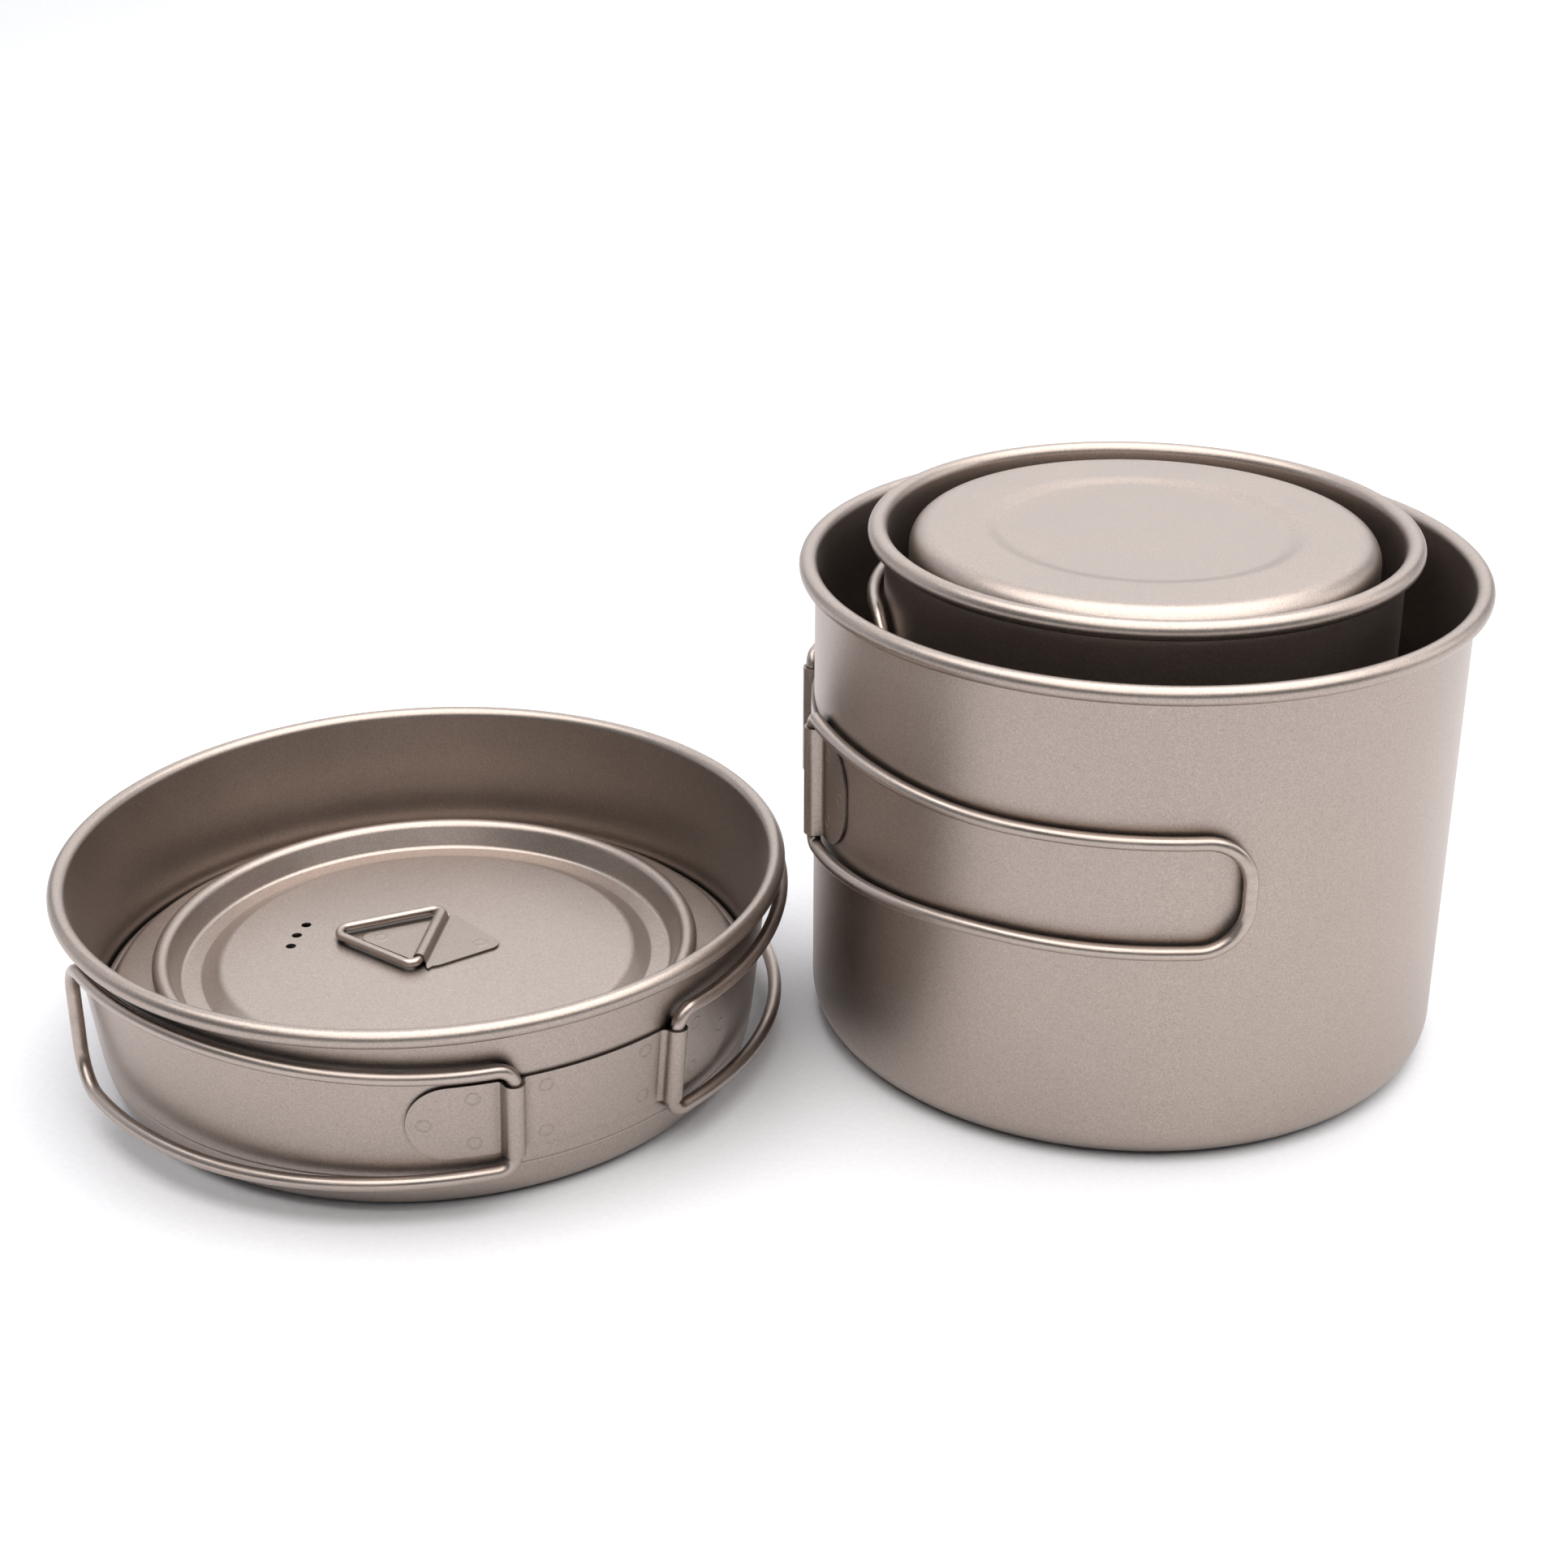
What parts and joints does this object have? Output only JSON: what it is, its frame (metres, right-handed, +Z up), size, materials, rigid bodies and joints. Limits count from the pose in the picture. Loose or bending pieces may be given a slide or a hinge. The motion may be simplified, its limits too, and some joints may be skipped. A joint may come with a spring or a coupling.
{
  "type": "nesting cooking pot set",
  "caption": "Nesting titanium camping cookware: a pot with a smaller pot and an upturned cup inside it, beside a frying pan that holds its lids, with fold-out wire handles.",
  "frame": {"origin": "centre of the large pot's base, on the surface that the set stands on", "axes": "+Z up along the large pot's axis, +X from the frying pan towards the large pot as seen from the front, +Y to the back"},
  "size_m": [0.3108, 0.171, 0.1167],
  "materials": {
    "titanium_sheet": null,
    "titanium_strap": null,
    "titanium_wire": null
  },
  "bodies": {
    "large_pot": {"large_pot": "titanium_sheet", "large_pot_strap": "titanium_strap"},
    "large_pot_handle_front": {"large_pot_handle_front": "titanium_wire"},
    "large_pot_handle_rear": {"large_pot_handle_rear": "titanium_wire"},
    "middle_pot": {"middle_pot": "titanium_sheet", "middle_pot_strap": "titanium_strap"},
    "middle_pot_handle_right": {"middle_pot_handle_right": "titanium_wire"},
    "middle_pot_handle_left": {"middle_pot_handle_left": "titanium_wire"},
    "cup": {"cup": "titanium_sheet", "cup_strap": "titanium_strap"},
    "cup_handle_right": {"cup_handle_right": "titanium_wire"},
    "cup_handle_left": {"cup_handle_left": "titanium_wire"},
    "pan": {"pan": "titanium_sheet", "pan_strap": "titanium_strap"},
    "pan_handle_left": {"pan_handle_left": "titanium_wire"},
    "pan_handle_right": {"pan_handle_right": "titanium_wire"},
    "wide_lid": {"wide_lid": "titanium_sheet"},
    "vented_lid": {"vented_lid": "titanium_sheet", "vented_lid_strap": "titanium_strap"},
    "vented_lid_bail": {"vented_lid_bail": "titanium_wire"}
  },
  "joints": [
    {"name": "large_pot_front_handle_fold", "type": "hinge", "parent": "large_pot", "child": "large_pot_handle_front", "pos_m": [-0.07075, -0.01672, 0.0639], "axis": [0, 0, -1], "range_deg": [0, 140]},
    {"name": "large_pot_rear_handle_fold", "type": "hinge", "parent": "large_pot", "child": "large_pot_handle_rear", "pos_m": [-0.07075, 0.01672, 0.0639], "axis": [0, 0, 1], "range_deg": [0, 140]},
    {"name": "middle_pot_lift", "type": "slide", "parent": "large_pot", "child": "middle_pot", "axis": [0, 0, 1], "range_m": [0, 0.16]},
    {"name": "middle_pot_right_handle_fold", "type": "hinge", "parent": "middle_pot", "child": "middle_pot_handle_right", "pos_m": [0.00081, 0.05769, 0.08785], "axis": [0, 0, 1], "range_deg": [0, 6]},
    {"name": "middle_pot_left_handle_fold", "type": "hinge", "parent": "middle_pot", "child": "middle_pot_handle_left", "pos_m": [-0.03126, 0.0485, 0.08785], "axis": [0, 0, -1], "range_deg": [0, 6]},
    {"name": "cup_lift", "type": "slide", "parent": "middle_pot", "child": "cup", "axis": [0, 0, 1], "range_m": [0, 0.16]},
    {"name": "cup_right_handle_fold", "type": "hinge", "parent": "cup", "child": "cup_handle_right", "pos_m": [0.02533, 0.0457, 0.0379], "axis": [0, 0, -1], "range_deg": [0, 1]},
    {"name": "cup_left_handle_fold", "type": "hinge", "parent": "cup", "child": "cup_handle_left", "pos_m": [0.0457, 0.02533, 0.0379], "axis": [0, 0, 1], "range_deg": [0, 1]},
    {"name": "pan_lift", "type": "slide", "parent": "large_pot", "child": "pan", "axis": [0, 0, 1], "range_m": [0, 0.16]},
    {"name": "pan_left_handle_fold", "type": "hinge", "parent": "pan", "child": "pan_handle_left", "pos_m": [-0.13056, -0.08848, 0.02305], "axis": [0.0385, -0.1046, 0.9938], "range_deg": [0, 140]},
    {"name": "pan_right_handle_fold", "type": "hinge", "parent": "pan", "child": "pan_handle_right", "pos_m": [-0.09969, -0.06734, 0.02305], "axis": [-0.0836, 0.0737, -0.9938], "range_deg": [0, 3]},
    {"name": "wide_lid_lift", "type": "slide", "parent": "pan", "child": "wide_lid", "axis": [0, 0, 1], "range_m": [0, 0.08]},
    {"name": "vented_lid_lift", "type": "slide", "parent": "wide_lid", "child": "vented_lid", "axis": [0, 0, 1], "range_m": [0, 0.08]},
    {"name": "vented_lid_bail_fold", "type": "hinge", "parent": "vented_lid", "child": "vented_lid_bail", "pos_m": [-0.1565, -0.0147, 0.02405], "axis": [0.1132, 0.9936, 0], "range_deg": [0, 100]}
  ]
}
